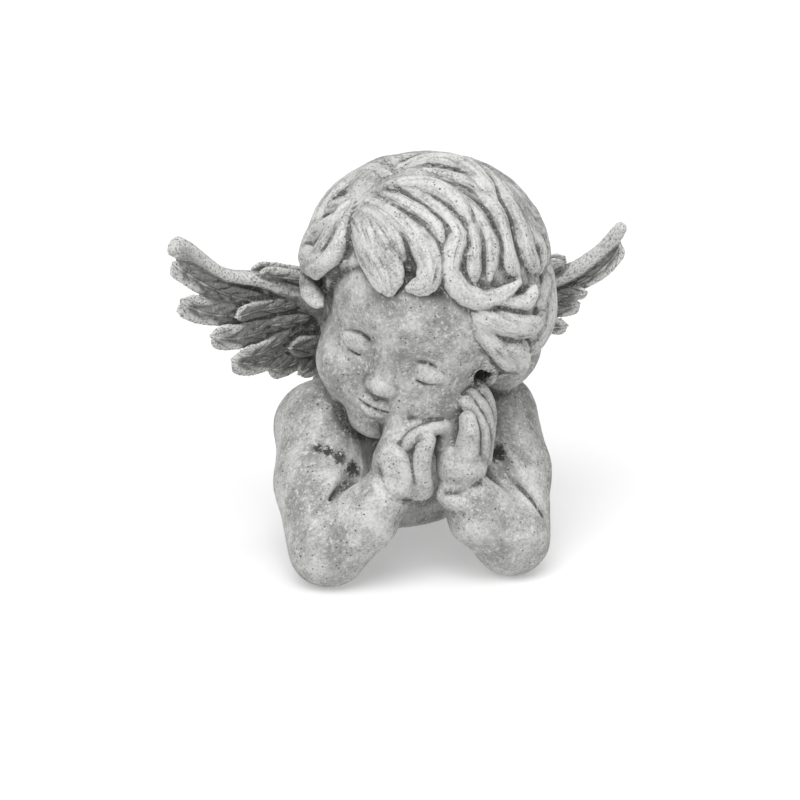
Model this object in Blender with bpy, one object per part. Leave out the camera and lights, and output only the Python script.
"""Angel figurine: a cast cherub bust that leans on its elbows, with its cheek on its folded hands.

The figure is one casting, so it is one solid. It is modelled the way a sculptor works in clay: rounded
lumps are pressed together with soft joins, cuts are pressed in, and the skin of the whole lump is kept.
+Z is up and the figure faces -Y. The script works in metres.
"""

import math

import bmesh
import bpy
import numpy as np
from mathutils import Euler

# Driving dimensions, in metres.
FIGURE_HEIGHT = 0.220
HEAD_RADIUS = 0.0580
WING_REACH = 0.119
TORSO_HALF_WIDTH = 0.043
UPPER_ARM_RADIUS = 0.0240
ELBOW_RADIUS = 0.0205
FOREARM_RADIUS = 0.0170
WRIST_RADIUS = 0.0130
FINGER_RADIUS = 0.0046
FEATHER_THICKNESS = 0.0038
FEATHER_TWIST = 0.22
LOCK_HEIGHT = 0.0054

# One module is the 220th part of the height. The pose and the carving are stated in modules.
MODULE = FIGURE_HEIGHT / 220
HEAD_MODULE = HEAD_RADIUS / 60
LOCK_JOIN = 2.6 * HEAD_MODULE
CLAY_STEP = 1.5 * MODULE
SOLID_TRIANGLES = 9400
STONE_COLOUR = (0.46, 0.46, 0.44, 1.0)
STONE_ROUGHNESS = 0.85

# The elbows are set a little low, so that each is cut flat where it stands.
ELBOW_FLAT = 0.0009
ELBOW_HEIGHT = (ELBOW_RADIUS - ELBOW_FLAT) / MODULE
BASE_DEPTH = -3 * MODULE

# Pose: the head's centre in modules, and its nod, tilt and turn in degrees.
HEAD_PLACE = (12.2, -6.5, 139.6)
HEAD_POSE = (6.3, 19.3, -26.7)
LEFT, RIGHT = -1, 1


class Frame:
    """A place to model in: points in its own modules become points in metres."""

    def __init__(self, origin, axes, scale):
        self.origin = np.asarray(origin, float)
        self.axes = np.asarray(axes, float)
        self.scale = scale

    def at(self, point):
        return self.origin + self.axes @ (np.asarray(point, float) * self.scale)


def turned(degrees):
    """The rotation matrix for three angles about X, Y and Z."""
    return np.array(Euler([math.radians(a) for a in degrees], "XYZ").to_matrix())


BODY = Frame((0, 0, 0), np.eye(3), MODULE)
HEAD = Frame(BODY.at(HEAD_PLACE), turned(HEAD_POSE), HEAD_MODULE)


def soft_min(a, b, blend):
    """The nearer of two distances, rounded over where they are alike."""
    near = np.maximum(blend - np.abs(a - b), 0) / blend
    return np.minimum(a, b) - near * near * blend / 4


class Clay:
    """A block of grid points, each with its distance to the figure's skin, negative inside."""

    FAR = 0.02

    def __init__(self, low, high, step):
        self.step = step
        self.axes = [np.arange(a, b, step, dtype=np.float32) for a, b in zip(low, high)]
        self.field = np.full([len(a) for a in self.axes], self.FAR, np.float32)

    def window(self, points, reach):
        points = np.atleast_2d(points)
        low, high = points.min(0) - reach, points.max(0) + reach
        cut = tuple(
            slice(*np.searchsorted(axis, (a, b)))
            for axis, a, b in zip(self.axes, low, high)
        )
        grid = np.meshgrid(*(a[s] for a, s in zip(self.axes, cut)), indexing="ij", sparse=True)
        return cut, grid

    def add(self, shape, blend):
        """Presses a lump on, with a soft join as wide as blend."""
        distance, points, reach = shape
        cut, grid = self.window(points, reach + blend + 2 * self.step)
        if all(s.stop > s.start for s in cut):
            self.field[cut] = soft_min(self.field[cut], distance(grid), blend)

    def cut(self, shape, blend):
        """Presses a hollow in, with a soft rim as wide as blend."""
        distance, points, reach = shape
        cut, grid = self.window(points, reach + blend + 2 * self.step)
        if all(s.stop > s.start for s in cut):
            self.field[cut] = -soft_min(-self.field[cut], distance(grid), blend)

    def rub(self):
        """Evens the skin out and closes its narrowest slits: each point is averaged with those beside it."""
        for axis in range(3):
            row = np.moveaxis(self.field, axis, 0)
            row[1:-1] = (row[:-2] + 2 * row[1:-1] + row[2:]) / 4

    def level(self, height):
        """Cuts everything off flat below a height."""
        self.field = np.maximum(self.field, height - self.axes[2][None, None, :])

    def joined(self, among, start):
        """Which of the points can be reached from the starting point through one another."""
        found = np.zeros_like(among)
        found[start] = True
        count = 0
        while count < found.sum():
            count = found.sum()
            for axis in range(3):
                for way in (1, -1):
                    open_row = np.moveaxis(among, axis, 0)[::way]
                    found_row = np.moveaxis(found, axis, 0)[::way]
                    index = np.arange(len(open_row), dtype=np.int16)[:, None, None]
                    last_found = np.maximum.accumulate(np.where(found_row, index, -1), axis=0)
                    last_wall = np.maximum.accumulate(np.where(open_row, -1, index), axis=0)
                    found_row |= open_row & (last_found > last_wall)
        return found

    def tidy(self, inside_point):
        """Drops loose crumbs and fills each hollow that has no way out."""
        start = tuple(int(np.searchsorted(a, p)) for a, p in zip(self.axes, inside_point))
        body = self.joined(self.field < 0, start)
        self.field[~body & (self.field < 0)] = self.step / 2
        outside = self.joined(~body, (0, 0, 0))
        self.field[~body & ~outside] = -self.step / 2

    def settle(self):
        """Fills the few grid points that would make the skin touch itself along an edge."""
        speck = -1e-3 * self.step
        for _ in range(12):
            changed = 0
            for u, v in ((0, 1), (0, 2), (1, 2)):
                f = np.moveaxis(self.field, (u, v), (0, 1))
                a, b, c, d = f[:-1, :-1], f[1:, :-1], f[:-1, 1:], f[1:, 1:]
                crossed = ((a < 0) == (d < 0)) & ((b < 0) == (c < 0)) & ((a < 0) != (b < 0))
                changed += int(crossed.sum())
                for part in (a, b):
                    part[crossed & (part >= 0)] = speck
            f = self.field
            for flip in ((1, 1), (1, -1), (-1, 1), (-1, -1)):
                g = f[:, :: flip[0], :: flip[1]]
                block = [
                    g[i : i + g.shape[0] - 1, j : j + g.shape[1] - 1, k : k + g.shape[2] - 1]
                    for i, j, k in np.ndindex(2, 2, 2)
                ]
                inside = sum((part < 0).astype(np.int8) for part in block)
                ends = (block[0] < 0).astype(np.int8) + (block[7] < 0)
                lone = ((inside == 2) & (ends == 2)) | ((inside == 6) & (ends == 0))
                changed += int(lone.sum())
                for part in block[:2]:
                    part[lone & (part >= 0)] = speck
            if not changed:
                return

    def skin(self):
        """The surface as points and quads: a point in each cell that it crosses, a quad across each edge."""
        f = self.field
        cells = [n - 1 for n in f.shape]
        corners = list(np.ndindex(2, 2, 2))
        count = sum(
            (f[i : i + cells[0], j : j + cells[1], k : k + cells[2]] < 0).astype(np.int8)
            for i, j, k in corners
        )
        crossed = np.argwhere((count > 0) & (count < 8))
        number = np.full(cells, -1, np.int64)
        number[tuple(crossed.T)] = np.arange(len(crossed))
        total, hits = np.zeros((len(crossed), 3)), np.zeros(len(crossed))
        for corner in corners:
            start = crossed + corner
            a = f[tuple(start.T)]
            for axis in range(3):
                if corner[axis]:
                    continue
                end = start.copy()
                end[:, axis] += 1
                b = f[tuple(end.T)]
                cuts = (a < 0) != (b < 0)
                point = np.tile(np.array(corner, float), (len(crossed), 1))
                point[cuts, axis] = (a[cuts] / (a[cuts] - b[cuts])).astype(float)
                total[cuts] += point[cuts]
                hits[cuts] += 1
        low = np.array([a[0] for a in self.axes], float)
        points = low + (crossed + total / hits[:, None]) * self.step
        quads = []
        for axis in range(3):
            u, v = (axis + 1) % 3, (axis + 2) % 3
            inside = np.moveaxis(f < 0, (axis, u, v), (0, 1, 2))
            for leaving in (True, False):
                start = inside[:-1] if leaving else inside[1:]
                end = inside[1:] if leaving else inside[:-1]
                edge = np.argwhere(start & ~end)
                place = np.empty_like(edge)
                place[:, axis], place[:, u], place[:, v] = edge.T
                ring = []
                for du, dv in ((0, 0), (1, 0), (1, 1), (0, 1)):
                    cell = place.copy()
                    cell[:, u] -= du
                    cell[:, v] -= dv
                    ring.append(number[tuple(cell.T)])
                quads.append(np.stack(ring if leaving else ring[::-1], axis=1))
        return points, np.concatenate(quads)


def ball(frame, centre, radii, turn=(0, 0, 0)):
    """An egg-shaped lump, turned by three angles."""
    middle = frame.at(centre)
    size = np.broadcast_to(radii, 3) * frame.scale
    axes = frame.axes @ turned(turn)

    def distance(grid):
        parts = [
            sum((grid[j] - middle[j]) * axes[j, i] for j in range(3)) / size[i]
            for i in range(3)
        ]
        out = np.sqrt(sum(p * p for p in parts))
        slope = np.sqrt(sum((p / s) ** 2 for p, s in zip(parts, size)))
        return out * (out - 1) / np.maximum(slope, 1.0)

    return distance, middle, max(size)


def limb(frame, start, end, start_radius, end_radius):
    """A round limb that tapers from one radius to another."""
    a, b = frame.at(start), frame.at(end)
    along = b - a
    first, last = start_radius * frame.scale, end_radius * frame.scale

    def distance(grid):
        share = sum((grid[i] - a[i]) * along[i] for i in range(3)) / (along @ along)
        share = np.clip(share, 0, 1)
        gap = np.sqrt(sum((grid[i] - a[i] - share * along[i]) ** 2 for i in range(3)))
        return gap - (first + (last - first) * share)

    return distance, [a, b], max(first, last)


def smooth_path(points, count):
    """That many points along a smooth curve through the given ones."""
    points = np.asarray(points, float)
    ends = np.vstack([2 * points[0] - points[1], points, 2 * points[-1] - points[-2]])
    place = np.linspace(0, len(points) - 1, count)
    index = np.minimum(place.astype(int), len(points) - 2)
    t = (place - index)[:, None]
    p0, p1, p2, p3 = (ends[index + i] for i in range(4))
    return 0.5 * (
        2 * p1
        + (p2 - p0) * t
        + (2 * p0 - 5 * p1 + 4 * p2 - p3) * t**2
        + (3 * p1 - p0 - 3 * p2 + p3) * t**3
    )


def strip(path, normals, half_widths, half_heights):
    """A flattened strand along a path: normals say which way is up from its broad side."""
    tangents = np.gradient(path, axis=0)
    tangents /= np.linalg.norm(tangents, axis=1)[:, None]
    sides = np.cross(tangents, normals)
    sides /= np.linalg.norm(sides, axis=1)[:, None]
    ups = np.cross(sides, tangents)
    steps = np.arange(len(path))

    def distance(grid):
        x, y, z = np.broadcast_arrays(*grid)
        nearest = np.full(x.shape, np.inf, np.float32)
        place = np.zeros(x.shape, np.float32)
        for i, (a, b) in enumerate(zip(path[:-1], path[1:])):
            d = (b - a).astype(np.float32)
            px, py, pz = x - np.float32(a[0]), y - np.float32(a[1]), z - np.float32(a[2])
            share = np.clip((px * d[0] + py * d[1] + pz * d[2]) / (d @ d), 0, 1)
            gap = (px - share * d[0]) ** 2 + (py - share * d[1]) ** 2 + (pz - share * d[2]) ** 2
            closer = gap < nearest
            nearest = np.where(closer, gap, nearest)
            place = np.where(closer, i + share, place)
        widest = float(np.max([half_widths, half_heights])) + 4 * MODULE
        near = nearest < widest**2
        where = place[near]
        offset = [
            g[near] - np.interp(where, steps, path[:, i]) for i, g in enumerate((x, y, z))
        ]
        side = sum(o * np.interp(where, steps, sides[:, i]) for i, o in enumerate(offset))
        up = sum(o * np.interp(where, steps, ups[:, i]) for i, o in enumerate(offset))
        rest = np.sqrt(np.maximum(sum(o * o for o in offset) - side**2 - up**2, 0))
        wide = np.interp(where, steps, half_widths)
        high = np.interp(where, steps, half_heights)
        out = np.sqrt((side / wide) ** 2 + (up / high) ** 2 + (rest / high) ** 2)
        slope = np.sqrt((side / wide**2) ** 2 + (up / high**2) ** 2 + (rest / high**2) ** 2)
        result = np.full(x.shape, Clay.FAR, np.float32)
        result[near] = out * (out - 1) / np.maximum(slope, 1.0)
        return result

    return distance, path, float(max(np.max(half_widths), np.max(half_heights)))


def without(shape, cutter, blend):
    """A lump with a hollow pressed in before it goes on the figure."""
    distance, points, reach = shape

    def hollowed(grid):
        return -soft_min(-distance(grid), cutter[0](grid), blend)

    return hollowed, points, reach


def tube(clay, frame, points, radii, blend, count=9):
    """A bent round strand, such as a finger."""
    path = np.array([frame.at(p) for p in smooth_path(points, count)])
    size = np.interp(np.linspace(0, 1, count), np.linspace(0, 1, len(radii)), radii) * frame.scale
    ups = np.tile(frame.axes[:, 1], (count, 1))
    clay.add(strip(path, ups, size, size), blend * frame.scale)


def groove(clay, frame, points, radius, blend, count=12):
    """A rounded furrow along a smooth path."""
    path = np.array([frame.at(p) for p in smooth_path(points, count)])
    size = np.full(count, radius * frame.scale)
    ups = np.tile(frame.axes[:, 1], (count, 1))
    clay.cut(strip(path, ups, size, size), blend * frame.scale)


def model_torso(clay):
    """The bust leans forward from its cut base to the shoulders."""
    wide = TORSO_HALF_WIDTH / MODULE
    clay.add(ball(BODY, (0, 56, 12), (wide, 32, 30)), MODULE)
    clay.add(ball(BODY, (0, 42, 40), (wide, 30, 34)), 16 * MODULE)
    clay.add(ball(BODY, (0, 24, 62), (wide, 28, 28)), 16 * MODULE)
    clay.add(ball(BODY, (0, 46, 66), (wide - 4, 22, 28)), 16 * MODULE)
    clay.add(limb(BODY, (3, 18, 78), (8, 4, 118), 24, 26), 14 * MODULE)
    for side in (LEFT, RIGHT):
        clay.add(ball(BODY, (1.5 + side * 42, 12, 66), (25, 25, 23)), 14 * MODULE)
    belly = [
        ((wide + 1) * math.sin(a), 56 - 32 * math.cos(a), 13)
        for a in np.radians(np.linspace(-80, 80, 9))
    ]
    groove(clay, BODY, belly, 1.6, 3)
    groove(clay, BODY, [(0, 89, 20), (0, 78, 50), (0, 68, 80)], 1.5, 6)
    for side in (LEFT, RIGHT):
        clay.add(ball(BODY, (side * 24, 60, 66), (14, 9, 20), (0, side * 15, 0)), 8 * MODULE)


def model_arm(clay, side, shoulder, elbow, start, fore, wrist, fold):
    """An upper arm down to the elbow, and a plump forearm that folds back up over it to the wrist."""
    upper = UPPER_ARM_RADIUS / MODULE
    lower = FOREARM_RADIUS / MODULE
    middle = np.add(shoulder, elbow) / 2 + (side * 1.5, 2, 2)
    clay.add(limb(BODY, shoulder, middle, upper, upper), 6 * MODULE)
    clay.add(limb(BODY, middle, elbow, upper, ELBOW_RADIUS / MODULE), 5 * MODULE)
    groove(clay, BODY, fold, 1.9, 5)
    clay.add(limb(BODY, start, fore, lower, lower), 1.5 * MODULE)
    clay.add(limb(BODY, fore, wrist, lower, WRIST_RADIUS / MODULE), 2 * MODULE)


# A finger's row holds its path, its thickness along it as shares of the finger radius, and its join's width.
LEFT_FINGERS = (
    ([(-13, -46, 70), (-8, -47, 81), (1, -47, 86), (11, -44, 87)], (1.13, 1.0, 0.91, 0.78), 1.5),
    ([(-9, -50, 70), (-4, -53, 79.5), (4, -52.5, 83.5), (12, -49, 84.5)], (1.04, 0.93, 0.87, 0.74), 1.0),
    ([(0.5, -51.5, 51.5), (-0.8, -57, 63), (-0.2, -58.5, 73), (2.8, -57, 80)], (1.39, 1.13, 1.09, 0.93), 1.2),
)
RIGHT_FINGERS = (
    ([(35.2, -40, 68), (37.2, -41, 86), (34.8, -41, 97), (30, -39, 102.5)], (1.13, 1.04, 0.98, 0.83), 0.8),
    ([(33.3, -45.5, 64), (35, -47, 79), (33, -47, 91), (27.3, -45, 99)], (1.17, 1.07, 1.0, 0.85), 0.8),
    ([(28.5, -50.5, 60), (31.2, -53, 73), (30.4, -53, 84), (24, -50, 97)], (1.3, 1.11, 1.02, 0.8), 0.8),
    ([(22.6, -53, 62), (23.6, -57, 76), (24, -58.5, 84), (23.4, -57, 90)], (1.74, 1.35, 1.2, 1.0), 1.0),
)


def model_fingers(clay, rows):
    for points, shares, blend in rows:
        tube(clay, BODY, points, np.array(shares) * FINGER_RADIUS / MODULE, blend)


def model_left_hand(clay):
    """The hand at the left of the view: a plump palm, the thumb in front and the fingers under the chin."""
    clay.add(limb(BODY, (-13, -45, 66), (-8, -41, 82), 11, 8), 5 * MODULE)
    clay.add(ball(BODY, (-12.5, -50, 62.5), (11.8, 12.2, 15), (0, -12, 0)), 0.8 * MODULE)
    clay.add(ball(BODY, (-4.5, -51.5, 54.5), (9, 8.5, 9)), 2 * MODULE)
    model_fingers(clay, LEFT_FINGERS)


def model_right_hand(clay):
    """The hand at the right of the view: upright on its wrist, with its fingers against the cheek."""
    clay.add(ball(BODY, (22.3, -54, 45.5), (15, 14, 8.5), (0, 15, 0)), 0.8 * MODULE)
    clay.add(limb(BODY, (18, -44, 70), (19.5, -42, 95), 10, 7), 5 * MODULE)
    clay.add(ball(BODY, (21.5, -51, 63), (13.5, 12.5, 13.5)), 0.8 * MODULE)
    model_fingers(clay, RIGHT_FINGERS)


ARC = (-1, -0.5, 0, 0.5, 1)


def model_face(clay):
    """A calm sleeping child's face on the usual proportions: eyes low, small nose and full cheeks."""
    clay.add(ball(HEAD, (0, 4, 6), (54, 55, 56)), 8 * HEAD_MODULE)
    clay.add(ball(HEAD, (0, -12, -31), (43, 40, 38)), 16 * HEAD_MODULE)
    clay.add(ball(HEAD, (0, -24, 6), (42, 30, 32)), 14 * HEAD_MODULE)
    for side in (LEFT, RIGHT):
        clay.add(ball(HEAD, (side * 22, -30, -37), (20, 19.5, 19)), 12 * HEAD_MODULE)
    clay.add(ball(HEAD, (0, -38, -61), (12, 10, 9)), 10 * HEAD_MODULE)
    for side in (LEFT, RIGHT):
        clay.cut(ball(HEAD, (side * 20, -59, -11), (14, 9, 10)), 8 * HEAD_MODULE)
        clay.add(ball(HEAD, (side * 20, -41.5, -15), (12.5, 9.5, 9.5)), 1.5 * HEAD_MODULE)
        lash = [(side * (20 + 10.5 * a), -51 + 3.5 * a * a, -19.5 + 3.5 * a * a) for a in ARC]
        groove(clay, HEAD, lash, 0.9, 0.8)
    clay.add(limb(HEAD, (0, -48, -8), (0, -54.5, -27), 4, 4.2), 9 * HEAD_MODULE)
    clay.add(ball(HEAD, (0, -56.5, -29.5), (5.0, 4.8, 4.4)), 4 * HEAD_MODULE)
    for side in (LEFT, RIGHT):
        clay.add(ball(HEAD, (side * 5.2, -53.5, -31), (2.9, 3.6, 2.8)), 2.5 * HEAD_MODULE)
    clay.add(ball(HEAD, (0, -44, -44), (15, 8.5, 9)), 9 * HEAD_MODULE)
    for side in (LEFT, RIGHT):
        upper = [(side * 0.6, -54, -41.4), (side * 4.5, -54, -41), (side * 10.5, -50.4, -43.2)]
        tube(clay, HEAD, upper, [1.9, 2.3, 0.9], 1.5)
        lower = [(0, -53.4, -47.2), (side * 4, -52.8, -47), (side * 8.5, -50.2, -45)]
        tube(clay, HEAD, lower, [2.6, 2.4, 0.9], 1.5)
    mouth = [(11.3 * a, -55.6 + 5 * a * a, -44.2 + 0.8 * a * a) for a in ARC]
    groove(clay, HEAD, mouth, 0.9, 0.6)


def model_ear(clay):
    """The ear at the left of the view: the hair covers the other one."""
    clay.add(ball(HEAD, (-54, -2, -17), (6, 10, 14), (0, 0, -20)), 2 * HEAD_MODULE)
    clay.cut(ball(HEAD, (-60, -7, -15), (4, 5, 8)), 2 * HEAD_MODULE)


# Locks that show from the front. Each has its path as longitude and latitude in degrees over the hair,
# longitude 0 at the face and growing to the right of the view, then its half width and its lift in modules.
HAIR_CENTRE = np.array((-5, 7, 13))
HAIR_RADII = np.array((58, 59, 58))
FRONT_LOCKS = (
    ([(-84, 70), (60, 84), (70, 66), (63, 52), (62, 40), (68, 29)], 5.5, 0),
    ([(-59, 64), (-11, 73), (31, 66), (44, 53), (47, 44), (46, 31)], 5.5, 0),
    ([(-66, 52), (20, 62), (33, 50), (34, 38), (36, 27)], 5, -1),
    ([(-70, 49), (-39, 60), (0, 60), (19, 51), (19, 40), (21, 30), (31, 22), (46, 20), (66, 26)], 5.5, 2.5),
    ([(-62, 45), (-25, 53), (0, 51), (12, 42)], 5, 0),
    ([(-60, 38), (-36, 44), (-12, 43), (2, 38), (9, 31), (9, 22), (2, 17)], 6.5, 3),
    ([(-57, 32), (-40, 38), (-22, 37), (-8, 30)], 5, 0),
    ([(-57, 27), (-40, 29), (-25, 25), (-13, 19), (-6, 11)], 9.5, 2.5),
    ([(-66, 46), (-54, 60), (-26, 69), (6, 68), (26, 60)], 5.5, 3),
    ([(-84, 52), (-112, 66), (-160, 80), (90, 80), (80, 72)], 6, 2),
    ([(-169, 62), (144, 72), (98, 62), (85, 48), (83, 36), (90, 27)], 6.5, 0.5),
    ([(-151, 60), (179, 62), (150, 56), (120, 44), (108, 30), (108, 20)], 6.5, 0),
    ([(42, 22), (50, 20), (60, 17), (70, 16), (78, 21)], 4.4, 4),
    ([(37, 15), (44, 11), (54, 8), (67, 5), (83, 1)], 6.5, 8),
    ([(41, 7), (46, 3), (53, -3), (63, -11), (80, -24)], 5.5, 9),
    ([(46, 2), (55, -1), (62, -4), (72, -13), (84, -28)], 5, 12),
    ([(101, 27), (106, 10), (102, -2), (96, -12), (86, -20)], 6.5, 9),
    ([(70, -30), (82, -34), (94, -30), (102, -18)], 6.5, 4),
    ([(-90, 56), (-110, 40), (-108, 26), (-100, 14), (-94, 6)], 7.5, 4),
    ([(-80, 52), (-98, 34), (-95, 20), (-88, 8), (-80, 0)], 7, 6),
    ([(-77, 25), (-86, 10), (-82, -1), (-74, -11), (-54, -6)], 6.5, 7),
    ([(-73, 26), (-62, 21), (-53, 12), (-53, 1), (-54, -10)], 5, 5),
    ([(-80, 2), (-76, -8), (-70, -17), (-64, -24), (-52, -18)], 5.5, 7),
    ([(-98, 6), (-94, -8), (-84, -20), (-70, -22)], 7, 4),
)
BACK_ROWS = ((34, -46), (58, -8), (72, 24))
BACK_LOCKS = 15


def direction(longitude, latitude):
    a, b = math.radians(longitude), math.radians(latitude)
    return np.array((math.sin(a) * math.cos(b), -math.cos(a) * math.cos(b), math.sin(b)))


def lock(clay, path, half_width, lift, count=18):
    """One lock of hair: low at its root, full in the middle and rounded at its curling end."""
    outs = smooth_path([direction(a, b) for a, b in path], count)
    outs /= np.linalg.norm(outs, axis=1)[:, None]
    normals = outs / HAIR_RADII
    normals /= np.linalg.norm(normals, axis=1)[:, None]
    share = np.linspace(0, 1, count)
    swell = np.interp(share, (0, 0.15, 0.5, 0.8, 0.93, 1), (0.4, 0.8, 1, 0.9, 0.75, 0.45))
    height = LOCK_HEIGHT / HEAD_MODULE * 0.3 * share + lift * np.sin(np.pi * 0.65 * share)
    places = HAIR_CENTRE + HAIR_RADII * outs + normals * height[:, None]
    spine = np.array([HEAD.at(p) for p in places])
    ups = normals @ HEAD.axes.T
    clay.add(strip(spine, ups, half_width * swell * HEAD_MODULE, LOCK_HEIGHT * swell), LOCK_JOIN)


def model_hair(clay):
    """A cap of hair open at the face, then its locks, those at the back laid out round the crown."""
    cap = ball(HEAD, HAIR_CENTRE, HAIR_RADII + 1.5)
    face = ball(HEAD, (-2, -62, -28), (58, 52, 62))
    clay.add(without(cap, face, 4 * HEAD_MODULE), 3 * HEAD_MODULE)
    clay.add(ball(HEAD, (46, 22, -22), (18, 22, 22)), 8 * HEAD_MODULE)
    for row, (start, end) in enumerate(BACK_ROWS):
        for i in range(BACK_LOCKS):
            longitude = 98 + (i + 0.5 * (row % 2)) * 162 / BACK_LOCKS
            bend = 7 * math.sin(0.9 * i + 1.7 * row)
            root = 210 + (longitude - 210) * (0.3 if row == 2 else 0.8)
            path = [
                (root, start),
                (longitude + bend, (start + end) / 2),
                (longitude - bend, end + 12),
                (longitude + 2 * bend, end),
            ]
            lock(clay, path, 5.5, 0.5)
    for path, half_width, lift in FRONT_LOCKS:
        lock(clay, path, half_width, lift, count=22)


# A wing is laid out by distance from the middle of the body and by height, in modules. A feather's row holds
# its path from base to tip, its half width, and how far it lies before the middle of the wing.
WING_ROOT, WING_SPAN = 25, 94
WING_ROOT_DEPTH, WING_TIP_DEPTH = 50, 20
WING_LIFT = {LEFT: 4, RIGHT: -3}
LONG_FEATHERS = {
    LEFT: (
        ([(60, 120), (78, 120), (96, 122.5), (108, 128), (113.5, 132.5)], 8.0, 0.0),
        ([(60, 124), (80, 129.5), (96, 137), (109, 146), (118.5, 154)], 6.6, 1.6),
        ([(50, 114), (68, 110), (84, 108), (97.5, 110.5)], 8.2, 0.9),
        ([(46, 104), (61, 95), (74.6, 92.5), (85.5, 95.5)], 8.6, 0.0),
        ([(48, 110), (61, 102.5), (72, 98), (81.5, 98)], 6.0, 1.9),
        ([(38, 99), (48, 91), (57, 87.5), (65, 87)], 7.2, -0.6),
        ([(33, 96), (40, 88), (48, 82)], 8.0, -1.0),
    ),
    RIGHT: (
        ([(70, 124), (87, 128.4), (97, 133), (107, 140), (114, 148), (119, 157)], 5.6, 0.6),
        ([(66, 117), (79, 118.7), (89, 118.5), (99, 122)], 6.0, 0.0),
        ([(66, 120), (79, 123), (90, 126.4), (103, 129)], 4.0, 2.4),
        ([(60, 111), (79, 109.8), (87, 108.4), (93, 109.4)], 5.6, 0.4),
        ([(48, 102), (58, 96), (68, 93)], 9.0, 0.0),
    ),
}
COVERTS = {
    LEFT: (
        ([(53, 124), (65.5, 123.3), (76, 122.5), (84.5, 120)], 5.2, 4.4),
        ([(45.7, 115.2), (56, 113.7), (65.5, 113.3)], 4.2, 4.2),
        ([(33, 99.8), (45, 98.8), (55, 98.9)], 7.0, 4.4),
        ([(32, 108), (45, 109)], 5.5, 3.6),
    ),
    RIGHT: (
        ([(50, 108), (64, 106), (78, 104)], 7.0, 3.6),
        ([(48, 116), (62, 114), (76, 114)], 6.0, 3.2),
        ([(35, 99), (54, 98)], 7.5, 4.0),
        ([(32, 106), (46, 109)], 5.5, 3.6),
    ),
}
SHORT_FEATHERS = {
    LEFT: (
        ([(41, 136), (58, 139.5), (72, 142.5)], 5.2, 6.0),
        ([(40, 126), (56, 131), (70, 135.5)], 4.8, 5.4),
        ([(30, 117), (50, 120)], 6.0, 6.0),
    ),
    RIGHT: (
        ([(68, 126), (79, 135), (85, 141), (91, 146)], 5.6, 5.4),
        ([(54, 131), (66, 135), (80, 138)], 5.5, 5.0),
        ([(40, 122), (58, 126), (74, 127)], 6.0, 6.0),
    ),
}
WING_ARM = {
    LEFT: (
        (24, 108), (40, 122), (56, 131), (70, 138), (82, 141), (90, 143.5), (97, 148), (104, 153.5),
        (111, 159), (117, 163),
    ),
    RIGHT: (
        (24, 108), (44, 122), (60, 129), (72, 131.5), (82, 133), (89, 136), (97, 141), (104, 147),
        (110.7, 153.7), (115.3, 159.8), (119, 166),
    ),
}
ARM_WIDTHS = {LEFT: (10, 8, 5, 4, 3.6, 3.6, 4.6, 5.6, 5.8), RIGHT: (10, 8, 7, 6, 5, 4.6, 4.4, 4.2, 4.0, 3.4)}


def raised(side, points):
    """The figure holds one wing a little higher than the other."""
    return [(a, b + WING_LIFT[side] * (a - WING_ROOT) / WING_SPAN) for a, b in points]


def on_wing(side, across, height, forward=0.0):
    """A point of the wing, and the direction that its front faces."""
    share = (across - WING_ROOT) / WING_SPAN
    across = WING_ROOT + share * (WING_REACH / MODULE - WING_ROOT)
    depth = WING_ROOT_DEPTH + (WING_TIP_DEPTH - WING_ROOT_DEPTH) * max(share, 0) ** 1.2
    facing = np.array((-side * 0.3, -0.95, 0.0))
    return BODY.at(np.array((side * across, depth, height)) + facing * forward), facing


def feather(clay, side, path, half_width, forward, count=16):
    """One feather: a thin blade with a full round tip."""
    line = smooth_path(raised(side, path), 60)
    t = np.sin(np.linspace(0, np.pi / 2, count))
    line = np.array([np.interp(t, np.linspace(0, 1, 60), line[:, i]) for i in (0, 1)]).T
    placed = [on_wing(side, a, b, forward * (1 - 0.3 * s)) for (a, b), s in zip(line, t)]
    spine, up = (np.array(part) for part in zip(*placed))
    across = np.cross(np.gradient(spine, axis=0), up)
    across /= np.linalg.norm(across, axis=1)[:, None]
    left = np.linalg.norm(spine - spine[-1], axis=1) / (half_width * MODULE)
    round_end = np.sqrt(np.maximum(1 - np.maximum(1 - left, 0) ** 2, 0.02))
    wide = half_width * MODULE * (0.7 + 0.3 * np.minimum(t / 0.6, 1)) * round_end
    thick = FEATHER_THICKNESS / 2 * (1 - 0.25 * t) * (0.5 + 0.5 * round_end)
    clay.add(strip(spine, up + side * FEATHER_TWIST * across, wide, thick), 0.6 * MODULE)


def blade(clay, side, line, half_widths, half_heights, forward):
    """A broad strip over the wing: its sizes are spread evenly from its first to its last point."""
    placed = [on_wing(side, a, b, forward) for a, b in line]
    share = np.linspace(0, 1, len(line))
    wide, high = (
        np.interp(share, np.linspace(0, 1, len(sizes)), sizes) * MODULE
        for sizes in (half_widths, half_heights)
    )
    spine, ups = (np.array(part) for part in zip(*placed))
    clay.add(strip(spine, ups, wide, high), 1.5 * MODULE)


def model_wing(clay, side):
    """A wing: long feathers in a fan, two shorter layers in front and behind, and the arm on top."""
    clay.add(limb(BODY, (side * 16, 48, 86), (side * 34, 47, 118), 15, 8), 8 * MODULE)
    web = smooth_path(raised(side, ((28, 104), (52, 116), (78, 127), (100, 139))), 10)
    blade(clay, side, web, (18, 17, 13, 7), (4.5, 3.5, 2.5, 1.5), 0.0)
    for path, half_width, forward in LONG_FEATHERS[side]:
        feather(clay, side, path, half_width, forward)
    for rows in (COVERTS, SHORT_FEATHERS):
        for path, half_width, forward in rows[side]:
            feather(clay, side, path, half_width, forward)
            feather(clay, side, path, half_width, -forward)
    arm = smooth_path(raised(side, WING_ARM[side]), 22)
    blade(clay, side, arm, ARM_WIDTHS[side], (8, 6, 5, 4, 3.5), 1.0)


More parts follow.
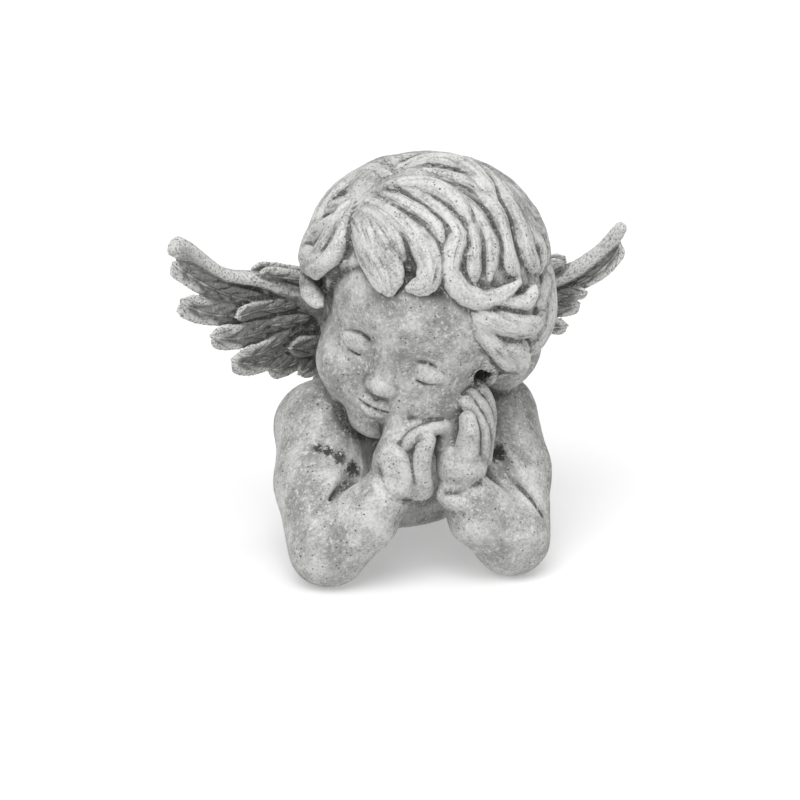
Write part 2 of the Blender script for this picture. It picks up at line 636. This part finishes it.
# What each part may reach, from a middle in modules, is worked out from the driving dimensions, so the block
# of clay is always large enough for them.
BLOCK_MARGIN = 5 * CLAY_STEP
HEAD_REACH = 1.5 * HEAD_RADIUS + LOCK_HEIGHT
FEATHER_REACH = 14 * MODULE


def block_corners():
    """The lowest and the highest corner of the block of clay."""
    arm = UPPER_ARM_RADIUS + ELBOW_RADIUS
    reaches = [
        (BODY.at(HEAD_PLACE), np.full(3, HEAD_REACH)),
        (BODY.at((0, 56, 40)), np.array((TORSO_HALF_WIDTH, 36 * MODULE, 80 * MODULE))),
        (BODY.at((0, 20, 168)), np.array((WING_REACH + FEATHER_REACH, 40 * MODULE, FEATHER_REACH))),
    ]
    for side in (LEFT, RIGHT):
        reaches.append((BODY.at((side * 50, -30, 40)), np.array((arm, 24 * MODULE + arm, arm))))
    low = np.min([middle - reach for middle, reach in reaches], axis=0) - BLOCK_MARGIN
    high = np.max([middle + reach for middle, reach in reaches], axis=0) + BLOCK_MARGIN
    low[2] = BASE_DEPTH - BLOCK_MARGIN
    return low, high


def model_figure():
    clay = Clay(*block_corners(), CLAY_STEP)
    model_torso(clay)
    for side in (LEFT, RIGHT):
        model_wing(clay, side)
    model_arm(
        clay, LEFT, (-41.5, 8, 66), (-48, -45, ELBOW_HEIGHT), (-45.5, -50, 19.5), (-29.5, -53.5, 37.5),
        (-15, -51, 54),
        [(-60, -52, 28), (-52.5, -48, 38), (-44, -43.5, 46), (-34, -37.5, 55), (-24, -28, 63)],
    )
    model_arm(
        clay, RIGHT, (49, 10, 66), (49, -46, ELBOW_HEIGHT), (47, -50, 20), (31, -54, 36),
        (22, -51.5, 51), [(41.5, -32, 64.5), (48.2, -41, 53.5), (56.2, -46, 43.6), (63.9, -50, 32)],
    )
    model_face(clay)
    model_ear(clay)
    model_hair(clay)
    model_left_hand(clay)
    model_right_hand(clay)
    clay.rub()
    clay.level(BASE_DEPTH)
    clay.settle()
    clay.tidy(BODY.at((0, 40, 40)))
    return clay.skin()


def stone():
    material = bpy.data.materials.new("cast_stone")
    material.use_nodes = True
    shader = material.node_tree.nodes["Principled BSDF"]
    shader.inputs["Base Color"].default_value = STONE_COLOUR
    shader.inputs["Roughness"].default_value = STONE_ROUGHNESS
    shader.inputs["Metallic"].default_value = 0.0
    material.diffuse_color = STONE_COLOUR
    return material


def flat_below(mesh):
    """Cuts the mesh flat at height 0 and closes the cut faces."""
    form = bmesh.new()
    form.from_mesh(mesh)
    everything = form.verts[:] + form.edges[:] + form.faces[:]
    cut = bmesh.ops.bisect_plane(
        form, geom=everything, dist=5e-5, plane_co=(0, 0, 0), plane_no=(0, 0, 1), clear_inner=True
    )
    rim = [part for part in cut["geom_cut"] if isinstance(part, bmesh.types.BMEdge)]
    for edge in rim:
        for vert in edge.verts:
            vert.co.z = 0.0
    bmesh.ops.holes_fill(form, edges=rim, sides=0)
    bmesh.ops.triangulate(form, faces=form.faces[:])
    form.to_mesh(mesh)
    form.free()


def build():
    for obj in list(bpy.data.objects):
        bpy.data.objects.remove(obj)
    points, quads = model_figure()
    clay_mesh = bpy.data.meshes.new("clay")
    clay_mesh.from_pydata(points.tolist(), [], quads.tolist())
    figure = bpy.data.objects.new("angel_figure", clay_mesh)
    bpy.context.scene.collection.objects.link(figure)
    thin = figure.modifiers.new("Thin", "DECIMATE")
    thin.ratio = SOLID_TRIANGLES / (2 * len(quads))
    seen = figure.evaluated_get(bpy.context.evaluated_depsgraph_get())
    mesh = bpy.data.meshes.new_from_object(seen)
    figure.modifiers.clear()
    flat_below(mesh)
    mesh.name = "angel_figure"
    figure.data = mesh
    mesh.materials.append(stone())
    mesh.shade_smooth()
    bpy.data.meshes.remove(clay_mesh)
    corners = np.array([vert.co for vert in mesh.vertices])
    middle = (corners.min(0) + corners.max(0)) / 2
    figure.location = (-middle[0], -middle[1], 0.0)


build()
